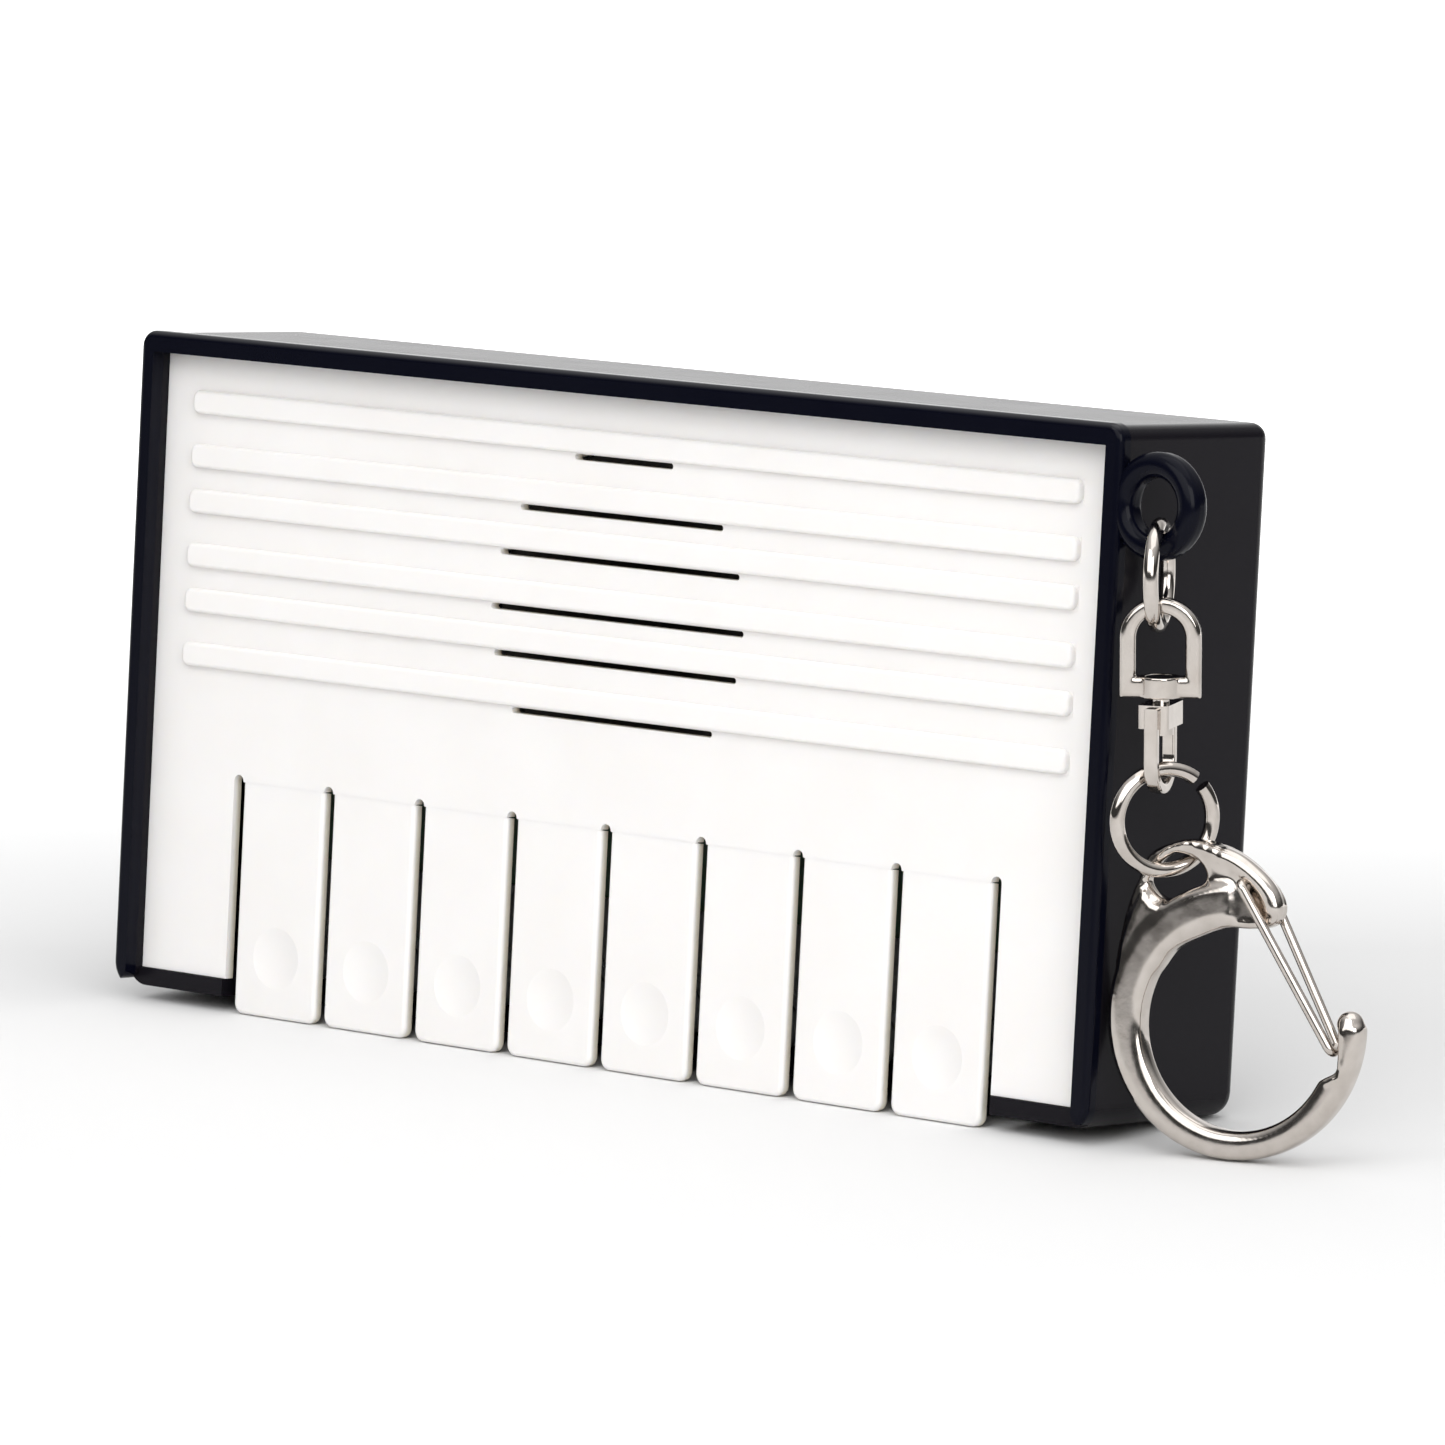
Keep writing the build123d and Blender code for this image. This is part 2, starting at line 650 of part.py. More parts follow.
# Swivel link: a block that turns on the pin, and a U of flat strip below it.
leg_top = -0.2
link_h = link_low_drop - block_drop
out_half_w = (link_spread + link_leg_t) / 2
in_half_w = (link_spread - link_leg_t) / 2
in_centre = -link_h + link_bottom + in_half_w
link_edge_r = 0.2
block_w = 2 * in_half_w + 2 * link_edge_r
block_deep = 2.7
block_corner_r = 0.4
with BuildPart() as swivel_link:
    with BuildSketch(link_plane):
        with BuildLine():
            Line((-out_half_w, leg_top), (out_half_w, leg_top))
            Line((out_half_w, leg_top), (out_half_w, -link_h + out_half_w))
            CenterArc((0, -link_h + out_half_w), out_half_w, 180, 180)
            Line((-out_half_w, -link_h + out_half_w), (-out_half_w, leg_top))
        make_face()
    extrude(amount=link_leg_w / 2, both=True)
    with BuildSketch(link_plane):
        with BuildLine():
            Line((-in_half_w, block_h), (in_half_w, block_h))
            Line((in_half_w, block_h), (in_half_w, in_centre))
            CenterArc((0, in_centre), in_half_w, 180, 180)
            Line((-in_half_w, in_centre), (-in_half_w, block_h))
        make_face()
    extrude(amount=link_leg_w, both=True, mode=Mode.SUBTRACT)
    fillet(swivel_link.faces().filter_by(link_plane).edges(), link_edge_r)
    with BuildSketch(link_foot):
        RectangleRounded(block_w, block_deep, block_corner_r)
    extrude(amount=block_h)
    with BuildSketch(link_foot):
        Circle(pin_r)
    extrude(amount=block_h, mode=Mode.SUBTRACT)
save(swivel_link.part, "swivel_link")


# ---- snap hook: a cast claw with an eye, and a sprung wire gate ----
claw_centre = (5.78, -11.62)
claw_r = 11.79
claw_hole_centre = (6.0, -12.23)
claw_hole_r = 8.68
claw_t = 2.6
claw_round = 0.85
lug_t = 1.6
eye_centre = (-0.12, 0.12)
eye_half_w = 2.67
eye_half_h = 2.02
eye_round = 0.6
tip_ball = (16.2, -11.1)
tip_ball_r = 1.02
gate_pivot = (6.1, 0.1)
gate_hole_r = 0.5
gate_wire_r = 0.42
gate_end = (15.05, -13.8)
ridge_r = 0.9
ridge_out = 0.4             # the ridge's axis lies in front of the hook's middle plane
ridge_points = [(4.2, 2.1), (5.35, 1.68), (7.0, 0.68), (8.4, -0.65), (8.9, -1.85)]

with BuildPart() as hook_ridge:
    with BuildLine(hook_plane.offset(ridge_out)):
        ridge_path = Spline(*ridge_points)
    with BuildSketch(Plane(origin=ridge_path @ 0, z_dir=ridge_path % 0)):
        Circle(ridge_r)
    sweep()
    with Locations(ridge_path @ 0, ridge_path @ 1):
        Sphere(ridge_r)

with BuildPart() as hook_lug:
    with BuildSketch(hook_plane):
        with BuildLine():
            Spline((-5.5, -7.4), (-4.9, -4.0), (-3.5, 0.0), (-2.0, 2.1), (0.15, 3.25), (3.35, 3.2),
                   (6.35, 2.0), (8.55, 0.2), (9.7, -1.65), (9.35, -3.0), (7.0, -3.7), (4.4, -3.9),
                   (1.9, -4.9), (-0.5, -6.5), (-2.2, -8.5), periodic=True)
        make_face()
        with Locations(eye_centre):
            Ellipse(eye_half_w, eye_half_h, mode=Mode.SUBTRACT)
    extrude(amount=lug_t / 2, both=True)
    fillet(hook_lug.edges().filter_by(GeomType.ELLIPSE), eye_round)

with BuildPart() as hook_body:
    with BuildSketch(hook_plane):
        with Locations(claw_centre):
            Circle(claw_r)
        with Locations(claw_hole_centre):
            Circle(claw_hole_r, mode=Mode.SUBTRACT)
    extrude(amount=claw_t / 2, both=True)
    fillet(hook_body.edges().filter_by(GeomType.CIRCLE), claw_round)
    with BuildSketch(hook_plane):
        with BuildLine():
            Polyline(claw_hole_centre, (4.9, 2.0), (21.0, 2.0), (21.0, -11.0), (14.5, -11.3), close=True)
        make_face()
        with BuildLine():
            Polyline((15.65, -11.2), (15.65, -15.2), (14.0, -15.9), (13.0, -11.2), close=True)
        make_face()
    extrude(amount=claw_t, both=True, mode=Mode.SUBTRACT)
    with Locations(hook_plane.from_local_coords((tip_ball[0], tip_ball[1], 0))):
        Sphere(tip_ball_r)
    add(hook_lug.part)
    add(hook_ridge.part)
    with BuildSketch(hook_plane):
        with Locations(gate_pivot):
            Circle(gate_hole_r)
    extrude(amount=claw_t, both=True, mode=Mode.SUBTRACT)
save(hook_body.part, "hook_body")


def on_hook(u, w, n):
    """A point from the hook plane's own coordinates."""
    return hook_plane.from_local_coords((u, w, n))


gate_n = lug_t / 2 + gate_wire_r + 0.22
gate_end_n = 0.72
gate_points = [
    on_hook(*gate_pivot, 0.25),
    on_hook(*gate_pivot, gate_n),
    on_hook(*gate_end, gate_end_n),
    on_hook(gate_end[0] - 0.25, gate_end[1] + 0.75, -gate_end_n),
    on_hook(8.4, -1.8, -gate_n),
    on_hook(*gate_pivot, -gate_n),
    on_hook(*gate_pivot, -0.25),
]
with BuildPart() as gate_wire:
    with BuildLine() as gate_path:
        FilletPolyline(*gate_points, radius=0.5)
    with BuildSketch(Plane(origin=gate_path.wire() @ 0, z_dir=gate_path.wire() % 0)):
        Circle(gate_wire_r)
    sweep()
save(gate_wire.part, "gate_wire")
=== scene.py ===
import json
import math

import bmesh
import bpy
from mathutils import Matrix, Vector


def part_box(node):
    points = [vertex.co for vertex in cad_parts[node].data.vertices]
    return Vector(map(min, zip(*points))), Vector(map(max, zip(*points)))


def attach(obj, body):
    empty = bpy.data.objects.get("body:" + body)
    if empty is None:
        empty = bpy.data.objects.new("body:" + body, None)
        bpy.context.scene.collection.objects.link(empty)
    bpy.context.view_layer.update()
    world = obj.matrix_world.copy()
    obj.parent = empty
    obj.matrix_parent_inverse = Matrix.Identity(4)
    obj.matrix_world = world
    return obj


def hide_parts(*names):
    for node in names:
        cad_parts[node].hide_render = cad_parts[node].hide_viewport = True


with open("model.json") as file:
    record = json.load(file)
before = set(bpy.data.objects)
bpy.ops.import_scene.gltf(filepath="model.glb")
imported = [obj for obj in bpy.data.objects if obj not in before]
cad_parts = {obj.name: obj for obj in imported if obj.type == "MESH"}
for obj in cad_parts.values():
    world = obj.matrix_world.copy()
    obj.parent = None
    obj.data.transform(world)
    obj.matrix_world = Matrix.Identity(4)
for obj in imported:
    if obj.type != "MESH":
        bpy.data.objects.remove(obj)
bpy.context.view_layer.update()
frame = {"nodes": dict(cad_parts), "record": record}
MM = 0.001

# The case leans back on its key ends, so the floor and the studio's up direction are tilted
# in the object's frame.
LEAN = math.radians(4.4)
UP = Vector((0, -math.sin(LEAN), math.cos(LEAN)))
FLOOR_GAP = 0.02 * MM
FLOOR_HALF = 9.0

# The floor's painted glow and painted shade, by distance behind the object as the camera sees it, in
# metres.
GLOW_SPAN = (0.05, 0.45)        # it starts to glow, until it meets the backdrop
DARK_SPAN = (-0.6, -0.3)        # it darkens towards the camera, out of its sight
FLOOR_DARK, FLOOR_PALE = 0.35, 0.78

# The world's brightness overhead and behind, and the height or direction where each sets in.
CEILING_LOW, CEILING_HIGH = 0.06, 0.9
CEILING_SPAN = (0.25, 0.85)
BACKDROP_BRIGHT = 1.02
BACKDROP_SPAN = (0.55, 0.9)

# Camera, as an orbit round an aim point in front of the panel.
CAM_AZIMUTH = math.radians(40.627)
CAM_ELEVATION = math.radians(4.936)
CAM_ROLL = math.radians(2.874)
CAM_DISTANCE = 915.16 * MM
CAM_AIM = Vector((6.864, -11.815, -0.153)) * MM
CAM_LENS = 258.19
CAM_SENSOR = 36.0

# The snap hook's casting, in millimetres and degrees in the hook's own frame.
HOOK_AZIMUTH, HOOK_TILT = 13.0, 5.0
GATE_PIVOT = (6.1, 0.1)
WEB_OUTLINE = [
    (-5.1, -7.8), (-3.4, -7.8), (-1.2, -4.0), (-0.8, -2.5),
    (-2.3, -2.3), (-3.05, -1.2), (-3.9, -3.0), (-4.75, -5.6),
]
WEB_HALF_T = 1.2
RIDGE_START = [(1.6, 2.7, 0.56), (2.4, 2.62, 0.68), (3.3, 2.4, 0.8)]    # x, y, radius
RIDGE_OUT = 0.4
TIP = (16.25, -11.1)
TIP_R = 1.2

# The moulded strips at the key roots. They stay just clear of the keys, which turn beneath them.
KEY_COUNT = 8
JOIN_DEEP = 0.28 * MM
JOIN_TALL = 0.048 * MM
JOIN_GAP = 0.002 * MM
JOIN_INSET = 0.05 * MM

# Where the materials change over the case, and the key face behind which the painted slot shade begins.
BEAD_DEPTH = 1.4 * MM
BEAD_BACK_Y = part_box("front_case")[0].y + BEAD_DEPTH
CASE_SIDE_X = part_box("back_case")[1].x
CASE_TOP_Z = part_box("back_case")[1].z
FACE_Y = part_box("key_1")[0].y

CAST_NODES = ("swivel_head", "hook_body")


# ---- material helpers ----
def new_material(name, colour, roughness, metallic=0.0):
    """A Principled material and its node tree, plain until its sockets are linked."""
    material = bpy.data.materials.new(name)
    material.use_nodes = True
    tree = material.node_tree
    shader = tree.nodes["Principled BSDF"]
    shader.inputs["Base Color"].default_value = (*colour, 1)
    shader.inputs["Roughness"].default_value = roughness
    shader.inputs["Metallic"].default_value = metallic
    return material, tree, shader


def along_axes(tree, space="Object"):
    """The X, Y and Z of the place being shaded, or of a world direction."""
    coords = tree.nodes.new("ShaderNodeTexCoord")
    parts = tree.nodes.new("ShaderNodeSeparateXYZ")
    tree.links.new(coords.outputs[space], parts.inputs["Vector"])
    return parts.outputs


def noise(tree, scale_mm, detail):
    """A noise texture whose features are about scale_mm across, fixed to the object."""
    coords = tree.nodes.new("ShaderNodeTexCoord")
    mapping = tree.nodes.new("ShaderNodeMapping")
    mapping.inputs["Scale"].default_value = [1 / (scale_mm * MM)] * 3
    texture = tree.nodes.new("ShaderNodeTexNoise")
    texture.inputs["Scale"].default_value = 1.0
    texture.inputs["Detail"].default_value = detail
    tree.links.new(coords.outputs["Object"], mapping.inputs["Vector"])
    tree.links.new(mapping.outputs["Vector"], texture.inputs["Vector"])
    return texture.outputs["Fac"]


def spread(tree, value, low, high, low_in=0.3, high_in=0.7):
    """Maps a varying value onto a range, from low at low_in to high at high_in."""
    node = tree.nodes.new("ShaderNodeMapRange")
    tree.links.new(value, node.inputs["Value"])
    node.inputs["From Min"].default_value = low_in
    node.inputs["From Max"].default_value = high_in
    node.inputs["To Min"].default_value = low
    node.inputs["To Max"].default_value = high
    return node.outputs["Result"]


def tint(tree, value, low, high):
    """A colour that varies between two with a value."""
    ramp = tree.nodes.new("ShaderNodeValToRGB")
    ramp.color_ramp.elements[0].position = 0.3
    ramp.color_ramp.elements[0].color = (*low, 1)
    ramp.color_ramp.elements[1].position = 0.7
    ramp.color_ramp.elements[1].color = (*high, 1)
    tree.links.new(value, ramp.inputs["Fac"])
    return ramp.outputs["Color"]


def bump(tree, shader, height, depth_mm, under=None):
    """Bump from a height value, as deep as depth_mm."""
    node = tree.nodes.new("ShaderNodeBump")
    node.inputs["Strength"].default_value = 1.0
    node.inputs["Distance"].default_value = depth_mm * MM
    tree.links.new(height, node.inputs["Height"])
    if under:
        tree.links.new(under, node.inputs["Normal"])
    tree.links.new(node.outputs["Normal"], shader.inputs["Normal"])
    return node.outputs["Normal"]


def combine(tree, operation, first, second):
    """A Math node on two values, either of which may be a number."""
    node = tree.nodes.new("ShaderNodeMath")
    node.operation = operation
    for socket, value in zip(node.inputs, (first, second)):
        if isinstance(value, (int, float)):
            socket.default_value = value
        else:
            tree.links.new(value, socket)
    return node.outputs["Value"]


def blend_colours(tree, factor, first, second):
    """A colour between one from a socket and a fixed one, by a factor."""
    mix = tree.nodes.new("ShaderNodeMix")
    mix.data_type = "RGBA"
    tree.links.new(factor, mix.inputs["Factor"])
    tree.links.new(first, mix.inputs["A"])
    mix.inputs["B"].default_value = (*second, 1)
    return mix.outputs["Result"]


def blend_values(tree, factor, first, second):
    """A value between two, by a factor."""
    mix = tree.nodes.new("ShaderNodeMix")
    mix.data_type = "FLOAT"
    tree.links.new(factor, mix.inputs["Factor"])
    tree.links.new(first, mix.inputs["A"])
    tree.links.new(second, mix.inputs["B"])
    return mix.outputs["Result"]


# ---- materials ----
def ivory_plastic():
    """Moulded ivory plastic: a fine satin grain, faint clouding, and painted warm shade that deepens
    inside the slots.
    """
    material, tree, shader = new_material("ivory_plastic", (0.87, 0.85, 0.84), 0.42)
    clouds = noise(tree, scale_mm=9, detail=2)
    face = tint(tree, clouds, (0.862, 0.842, 0.826), (0.878, 0.862, 0.850))
    # Painted shade: the key walls darken to beige, then brown, the deeper they lie behind the panel face.
    # This stands in for the shade and warm bounce light inside the slots.
    depth = along_axes(tree)["Y"]
    shade_start, deep_shade_start, deep_shade_end = (FACE_Y + below * MM for below in (0.33, 0.6, 1.1))
    edge_shade = spread(tree, depth, 0, 1, shade_start, deep_shade_start)
    slot_shade = spread(tree, depth, 0, 1, deep_shade_start, deep_shade_end)
    edge_shaded_colour = blend_colours(tree, edge_shade, face, (0.84, 0.80, 0.70))
    slot_shaded_colour = blend_colours(tree, slot_shade, edge_shaded_colour, (0.66, 0.59, 0.46))
    tree.links.new(slot_shaded_colour, shader.inputs["Base Color"])
    grain = noise(tree, scale_mm=0.35, detail=2)
    tree.links.new(spread(tree, grain, 0.36, 0.50), shader.inputs["Roughness"])
    bump(tree, shader, grain, depth_mm=0.006)
    shader.inputs["Subsurface Weight"].default_value = 0.12
    shader.inputs["Subsurface Radius"].default_value = (1.0, 0.8, 0.5)
    shader.inputs["Subsurface Scale"].default_value = 0.8 * MM
    return material


def case_plastic(name, beaded):
    """Satin black plastic. The front shell's bead and eyelet are polished, with a navy cast."""
    material, tree, shader = new_material(name, (0.012, 0.012, 0.014), 0.34)
    grain = noise(tree, scale_mm=0.22, detail=2)
    smears = noise(tree, scale_mm=6, detail=3)
    rough = spread(tree, smears, 0.24, 0.26)
    colour = tint(tree, smears, (0.0072, 0.0064, 0.0088), (0.0080, 0.0071, 0.0097))
    place = along_axes(tree)
    top_start, top_end = CASE_TOP_Z - 0.4 * MM, CASE_TOP_Z - 0.05 * MM
    sheen = spread(tree, place["Z"], 0.1, 0.45, top_start, top_end)
    tree.links.new(sheen, shader.inputs["Specular IOR Level"])
    if beaded:
        edge = 0.15 * MM
        on_bead = spread(tree, place["Y"], 1, 0, BEAD_BACK_Y - edge, BEAD_BACK_Y + edge)
        on_eyelet = spread(tree, place["X"], 0, 1, CASE_SIDE_X + edge, CASE_SIDE_X + 3 * edge)
        polished = combine(tree, "MAXIMUM", on_bead, on_eyelet)
        gloss = spread(tree, smears, 0.14, 0.2)
        rough = blend_values(tree, polished, rough, gloss)
        colour = blend_colours(tree, polished, colour, (0.0022, 0.0026, 0.0070))
    tree.links.new(colour, shader.inputs["Base Color"])
    tree.links.new(rough, shader.inputs["Roughness"])
    bump(tree, shader, grain, depth_mm=0.0015)
    return material


def nickel(name, roughness, dimple_mm, wave_mm):
    """Bright warm nickel plate over a slightly uneven casting or wire."""
    material, tree, shader = new_material(name, (0.57, 0.52, 0.48), roughness, metallic=1.0)
    patches = noise(tree, scale_mm=1.6, detail=4)
    colour = tint(tree, patches, (0.52, 0.475, 0.435), (0.62, 0.575, 0.535))
    tree.links.new(colour, shader.inputs["Base Color"])
    rough = spread(tree, patches, roughness * 0.7, roughness * 1.5)
    tree.links.new(rough, shader.inputs["Roughness"])
    waves = bump(tree, shader, noise(tree, scale_mm=1.3, detail=1), wave_mm)
    bump(tree, shader, noise(tree, scale_mm=0.25, detail=2), dimple_mm, under=waves)
    return material


def plain_finish(name, low, high, roughness, grain_mm, depth_mm, metallic=0.0):
    """A finish that varies between two colours with a grain, and is bumped by it."""
    material, tree, shader = new_material(name, low, roughness, metallic)
    grain = noise(tree, grain_mm, detail=4)
    tree.links.new(tint(tree, grain, low, high), shader.inputs["Base Color"])
    rough = spread(tree, grain, roughness * 0.8, min(roughness * 1.2, 1))
    tree.links.new(rough, shader.inputs["Roughness"])
    bump(tree, shader, grain, depth_mm)
    return material


def inner_finishes():
    """The finishes of the board, the speaker, the cells and the screws, by material slot."""
    # name, darkest and lightest colour, roughness, grain and its depth in mm, metallic
    finishes = {
        "contact_rubber": ("dome_rubber", (0.20, 0.21, 0.22), (0.26, 0.27, 0.28), 0.75, 0.6, 0.004, 0),
        "board_green": ("solder_mask", (0.02, 0.10, 0.04), (0.03, 0.14, 0.06), 0.35, 1.5, 0.003, 0),
        "epoxy_black": ("epoxy_drop", (0.008,) * 3, (0.014,) * 3, 0.15, 3.0, 0.01, 0),
        "component_ceramic": ("ceramic", (0.36, 0.28, 0.18), (0.46, 0.37, 0.26), 0.5, 0.4, 0.003, 0),
        "speaker_steel": ("zinc_steel", (0.52, 0.53, 0.54), (0.64, 0.65, 0.66), 0.3, 0.8, 0.003, 1),
        "paper_cone": ("pressed_paper", (0.02, 0.018, 0.016), (0.045, 0.04, 0.035), 0.9, 0.4, 0.02, 0),
        "cell_steel": ("cell_steel", (0.66, 0.66, 0.65), (0.74, 0.74, 0.73), 0.2, 1.0, 0.001, 1),
        "contact_nickel": ("contact_nickel", (0.62, 0.61, 0.58), (0.72, 0.71, 0.68), 0.25, 0.6, 0.002, 1),
        "screw_steel": ("screw_steel", (0.45, 0.45, 0.46), (0.58, 0.58, 0.59), 0.3, 0.5, 0.002, 1),
    }
    return {slot: plain_finish(*values) for slot, values in finishes.items()}


MATERIALS = {
    "front_case": case_plastic("front_case_black", beaded=True),
    "case_plastic": case_plastic("case_black", beaded=False),
    "ivory_plastic": ivory_plastic(),
    **inner_finishes(),
    "wire_nickel": nickel("wire_nickel", roughness=0.08, dimple_mm=0.0004, wave_mm=0.002),
    "cast_nickel": nickel("cast_nickel", roughness=0.11, dimple_mm=0.0008, wave_mm=0.004),
}


# ---- pieces ----
def finish_mesh(mesh, finish):
    """Gives a mesh one material."""
    mesh.materials.clear()
    mesh.materials.append(MATERIALS[finish])


def dress_nodes():
    """Gives each CAD node the material of its slot. The front shell and the castings have their own."""
    for part in frame["record"]["subparts"]:
        node, finish = part["node"], part["material_slot"]
        if finish == "nickel_plate":
            finish = "cast_nickel" if node in CAST_NODES else "wire_nickel"
        if node == "front_case":
            finish = "front_case"
        finish_mesh(frame["nodes"][node].data, finish)


def add_to_scene(name, data):
    """A new object in the scene."""
    piece = bpy.data.objects.new(name, data)
    bpy.context.scene.collection.objects.link(piece)
    return piece


def mesh_from(shape, name):
    """A new mesh from bmesh geometry."""
    mesh = bpy.data.meshes.new(name)
    shape.to_mesh(mesh)
    shape.free()
    return mesh


def hook_frame():
    """The snap hook's own frame: x across the claw, y up through the eye, z out of its face."""
    turn, rise = math.radians(HOOK_AZIMUTH), math.radians(HOOK_TILT)
    lean = Matrix.Rotation(LEAN, 3, "X")
    level = lean @ Vector((math.sin(turn), -math.cos(turn), 0))
    facing = level * math.cos(rise) + UP * math.sin(rise)
    upright = UP * math.cos(rise) - level * math.sin(rise)
    across = upright.cross(facing)
    place = Matrix((across, upright, facing)).transposed().to_4x4()
    joints = {joint["name"]: joint for joint in frame["record"]["behaviour"]["joints"]}
    offset = place.to_3x3() @ Vector((*GATE_PIVOT, 0)) * MM
    place.translation = Vector(joints["gate_press"]["pos_m"]) - offset
    return place


def add_ball(shape, place, centre, r):
    """A ball at a place in the hook's frame, in millimetres."""
    at = place @ Matrix.Translation(Vector(centre) * MM)
    bmesh.ops.create_icosphere(shape, subdivisions=3, radius=r * MM, matrix=at)


def add_web(shape, place, outline, half_t):
    """A flat web with an outline in the hook's frame, centred on the casting, in millimetres."""
    back, front = (
        [shape.verts.new(place @ (Vector((x, y, side * half_t)) * MM)) for x, y in outline]
        for side in (-1, 1)
    )
    shape.faces.new(list(reversed(back)))
    shape.faces.new(front)
    for i in range(len(outline)):
        j = (i + 1) % len(outline)
        shape.faces.new((back[i], back[j], front[j], front[i]))


def add_hook_castings(mesh):
    """Adds the web beside the hook's eye, the ridge's thin start and the tip's full end ball."""
    shape = bmesh.new()
    shape.from_mesh(mesh)
    place = hook_frame()
    add_web(shape, place, WEB_OUTLINE, WEB_HALF_T)
    for x, y, r in RIDGE_START:
        add_ball(shape, place, (x, y, RIDGE_OUT), r)
    add_ball(shape, place, (*TIP, 0), TIP_R)
    shape.to_mesh(mesh)
    shape.free()


def soften(node, body, voxel_mm, steps, passes, extra=None):
    """Replaces a node by a casting of the same shape whose joints and corners flow together.

    Each step grows or shrinks the surface, in millimetres: growing then shrinking fills the
    inner corners, and shrinking then growing rounds the outer ones.
    """
    shape = add_to_scene(node + "_casting", frame["nodes"][node].data.copy())
    shape.matrix_world = frame["nodes"][node].matrix_world
    if extra:
        extra(shape.data)

    def even_out(rounds):
        remesh = shape.modifiers.new("remesh", "REMESH")
        remesh.mode = "VOXEL"
        remesh.voxel_size = voxel_mm * MM
        smooth = shape.modifiers.new("smooth", "SMOOTH")
        smooth.factor = 0.5
        smooth.iterations = rounds

    even_out(2)
    for step in steps:
        grow = shape.modifiers.new("grow", "DISPLACE")
        grow.mid_level = 0
        grow.strength = step * MM
        even_out(2)
    even_out(passes)
    finished = shape.evaluated_get(bpy.context.evaluated_depsgraph_get())
    mesh = bpy.data.meshes.new_from_object(finished)
    shape.modifiers.clear()
    shape.data = mesh
    mesh.shade_smooth()
    finish_mesh(mesh, "cast_nickel")
    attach(shape, body)
    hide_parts(node)


def join_keys():
    """The thin moulded strips that join the keys to the panel, flush with its face."""
    shape = bmesh.new()
    for number in range(1, KEY_COUNT + 1):
        low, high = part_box(f"key_{number}")
        size = Vector((high.x - low.x - 2 * JOIN_INSET, JOIN_DEEP, JOIN_TALL))
        corner = Vector((low.x + JOIN_INSET, low.y, high.z + JOIN_GAP))
        place = Matrix.Translation(corner + size / 2) @ Matrix.Diagonal((*size, 1))
        bmesh.ops.create_cube(shape, size=1, matrix=place)
    joins = add_to_scene("key_joins", mesh_from(shape, "key_joins"))
    finish_mesh(joins.data, "ivory_plastic")
    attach(joins, "case")


# ---- studio ----
def lowest_along_up():
    """How low the object reaches along the studio's up direction."""
    return min(UP.dot(v.co) for node in frame["nodes"].values() for v in node.data.vertices)


def behind_amount(tree, place):
    """How far a place or direction lies behind the object, as the camera sees it."""
    across = combine(tree, "MULTIPLY", place["X"], -math.sin(CAM_AZIMUTH))
    away = combine(tree, "MULTIPLY", place["Y"], math.cos(CAM_AZIMUTH))
    return combine(tree, "ADD", across, away)


def floor_material():
    """Pale floor paint, with a painted glow behind the object and painted shade towards the camera."""
    material, tree, shader = new_material("floor_white", (0.80, 0.80, 0.805), 0.9)
    distance = behind_amount(tree, along_axes(tree))
    shader.inputs["Emission Color"].default_value = (1, 1, 1, 1)
    # Painted glow: the floor emits light behind the object, blending it into the backdrop.
    glow = spread(tree, distance, 0.0, 1.0, *GLOW_SPAN)
    tree.links.new(glow, shader.inputs["Emission Strength"])
    # Painted shade: the floor's colour darkens towards the camera, standing in for the unlit front of the
    # studio.
    shade = spread(tree, distance, FLOOR_DARK, FLOOR_PALE, *DARK_SPAN)
    paint = tree.nodes.new("ShaderNodeCombineColor")
    for channel in paint.inputs:
        tree.links.new(shade, channel)
    tree.links.new(paint.outputs["Color"], shader.inputs["Base Color"])
    return material


def make_floor():
    """A plain pale floor under the leaning case."""
    side = Vector((1, 0, 0)) * FLOOR_HALF
    ahead = UP.cross(Vector((1, 0, 0))) * FLOOR_HALF
    centre = UP * (lowest_along_up() - FLOOR_GAP)
    shape = bmesh.new()
    corners = [centre + side * a + ahead * b for a, b in ((-1, -1), (1, -1), (1, 1), (-1, 1))]
    shape.faces.new([shape.verts.new(corner) for corner in corners])
    floor = add_to_scene("floor", mesh_from(shape, "floor"))
    floor.data.materials.append(floor_material())


def soft_light(name, azimuth, elevation, distance, size, watts):
    """A rectangular area light on an orbit round the origin, in degrees and metres."""
    turn, rise = math.radians(azimuth), math.radians(elevation)
    out = Vector((
        math.sin(turn) * math.cos(rise),
        -math.cos(turn) * math.cos(rise),
        math.sin(rise),
    ))
    data = bpy.data.lights.new(name, "AREA")
    data.shape = "RECTANGLE"
    data.size, data.size_y = size
    data.energy = watts
    light = add_to_scene(name, data)
    light.location = out * distance
    light.rotation_mode = "QUATERNION"
    light.rotation_quaternion = (-out).to_track_quat("-Z", "Y")


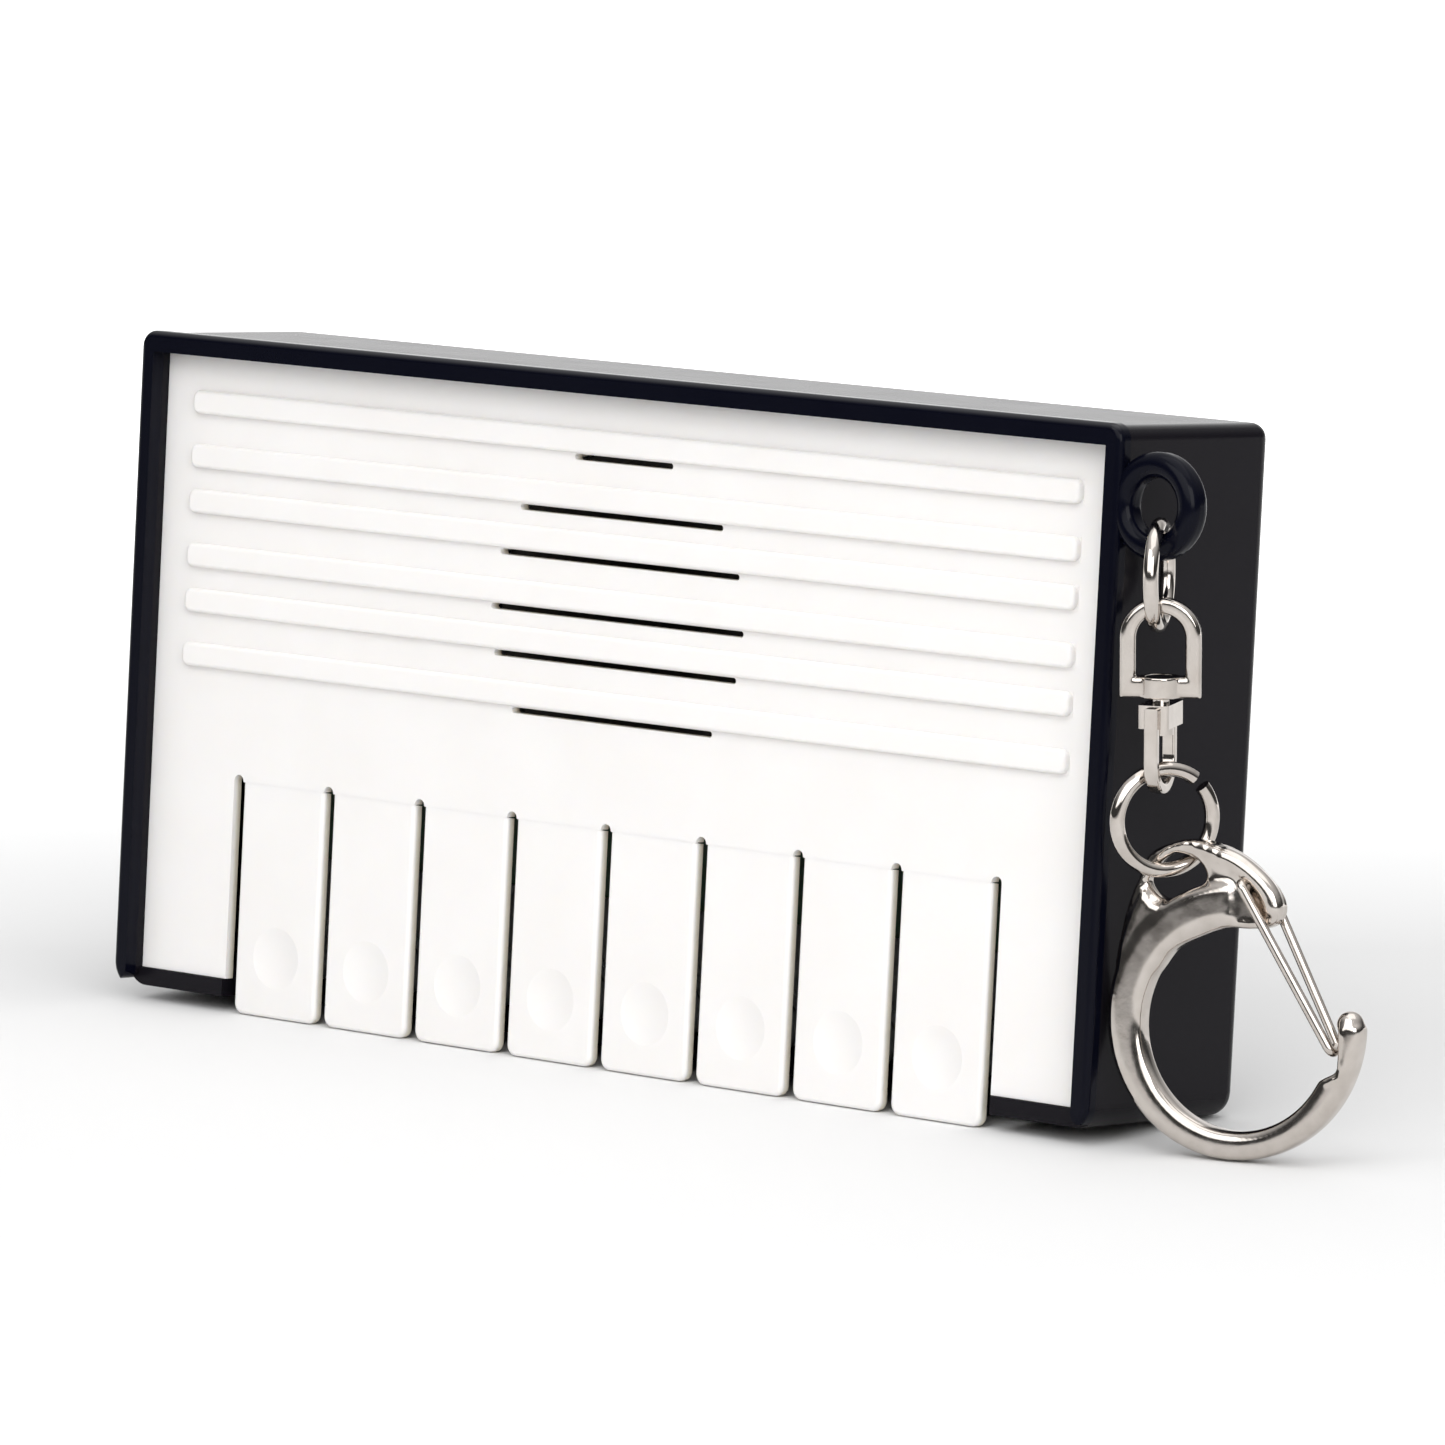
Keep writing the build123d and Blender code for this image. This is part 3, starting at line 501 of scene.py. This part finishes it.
def make_world():
    """A studio with a bright backdrop and ceiling, dark towards the front and sides."""
    world = bpy.data.worlds.new("studio")
    bpy.context.scene.world = world
    world.use_nodes = True
    tree = world.node_tree
    tree.nodes.clear()
    direction = along_axes(tree, "Generated")
    overhead = spread(tree, direction["Z"], CEILING_LOW, CEILING_HIGH, *CEILING_SPAN)
    backdrop = spread(tree, behind_amount(tree, direction), 0.0, BACKDROP_BRIGHT, *BACKDROP_SPAN)
    background = tree.nodes.new("ShaderNodeBackground")
    background.inputs["Color"].default_value = (1, 1, 1, 1)
    tree.links.new(combine(tree, "MAXIMUM", overhead, backdrop), background.inputs["Strength"])
    output = tree.nodes.new("ShaderNodeOutputWorld")
    tree.links.new(background.outputs["Background"], output.inputs["Surface"])


def make_camera():
    """The camera at the photograph's viewing angle."""
    back = Vector((
        math.sin(CAM_AZIMUTH) * math.cos(CAM_ELEVATION),
        -math.cos(CAM_AZIMUTH) * math.cos(CAM_ELEVATION),
        math.sin(CAM_ELEVATION),
    ))
    level = Vector((0, 0, 1)).cross(back).normalized()
    upright = back.cross(level)
    right = level * math.cos(CAM_ROLL) + upright * math.sin(CAM_ROLL)
    upright = back.cross(right)
    data = bpy.data.cameras.new("camera")
    data.lens = CAM_LENS
    data.sensor_width = CAM_SENSOR
    data.clip_start, data.clip_end = 0.05, 50
    camera = add_to_scene("camera", data)
    place = Matrix((right, upright, back)).transposed().to_4x4()
    place.translation = CAM_AIM + back * CAM_DISTANCE
    camera.matrix_world = place
    bpy.context.scene.camera = camera


dress_nodes()
join_keys()
soften(
    "hook_body", "hook", voxel_mm=0.11, steps=(0.5, -0.5, -0.4, 0.4), passes=8, extra=add_hook_castings,
)
soften("swivel_head", "swivel_head", voxel_mm=0.08, steps=(), passes=4)
make_camera()
make_floor()
make_world()
soft_light("key_softbox", azimuth=12, elevation=30, distance=0.9, size=(0.9, 0.7), watts=4.0)
soft_light("side_softbox", azimuth=58, elevation=20, distance=0.9, size=(0.5, 0.5), watts=3.0)
soft_light("top_softbox", azimuth=60, elevation=80, distance=0.8, size=(0.8, 0.8), watts=1.8)
bpy.context.scene.view_settings.view_transform = "Standard"
